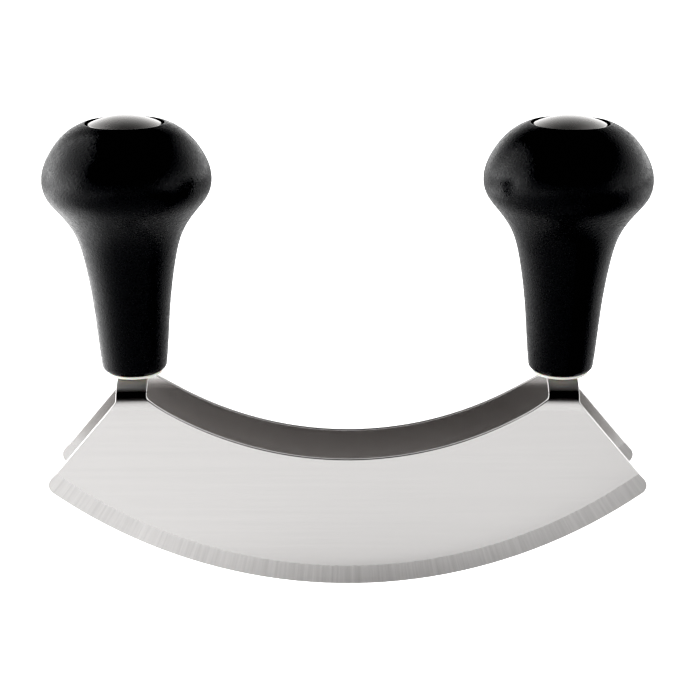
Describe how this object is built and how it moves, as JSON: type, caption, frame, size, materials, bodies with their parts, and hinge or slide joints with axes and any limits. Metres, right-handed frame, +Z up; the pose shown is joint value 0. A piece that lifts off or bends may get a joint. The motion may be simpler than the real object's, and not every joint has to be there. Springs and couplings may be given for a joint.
{
  "type": "mezzaluna",
  "caption": "Rocking mincing knife: parallel crescent blades bent from a single steel sheet, under upright black turning knobs with domed metal caps.",
  "frame": {"origin": "midway between the two blades, level with the lowest points of both cutting edges", "axes": "+X along the blades to the right as the picture shows them, +Y from the front blade to the rear blade, +Z up along the knobs"},
  "size_m": [0.1766, 0.0484, 0.1394],
  "materials": {
    "blade_steel": "satin stainless sheet, with a cross-ground bevel along each cutting edge",
    "knob_plastic": "black moulded plastic with a fine eroded grain",
    "cap_steel": "satin stainless disc",
    "fastener_steel": "bright stainless fastener",
    "washer_nylon": "natural white nylon",
    "sleeve_steel": "drawn stainless tube"
  },
  "bodies": {
    "blade_frame": {"twin_blade": "blade_steel", "bolt_left": "fastener_steel", "bolt_right": "fastener_steel", "lock_washer_left": "fastener_steel", "lock_washer_right": "fastener_steel", "thrust_washer_left": "washer_nylon", "thrust_washer_right": "washer_nylon", "sleeve_left": "sleeve_steel", "sleeve_right": "sleeve_steel", "top_washer_left": "fastener_steel", "top_washer_right": "fastener_steel", "lock_nut_left": "fastener_steel", "lock_nut_right": "fastener_steel", "nut_insert_left": "washer_nylon", "nut_insert_right": "washer_nylon"},
    "left_knob": {"knob_left": "knob_plastic", "end_cap_left": "cap_steel"},
    "right_knob": {"knob_right": "knob_plastic", "end_cap_right": "cap_steel"}
  },
  "joints": [
    {"name": "left_knob_turn", "type": "hinge", "parent": "blade_frame", "child": "left_knob", "pos_m": [-0.063, 0, 0.0641], "axis": [0, 0, 1], "continuous": true},
    {"name": "right_knob_turn", "type": "hinge", "parent": "blade_frame", "child": "right_knob", "pos_m": [0.063, 0, 0.0641], "axis": [0, 0, 1], "continuous": true}
  ]
}
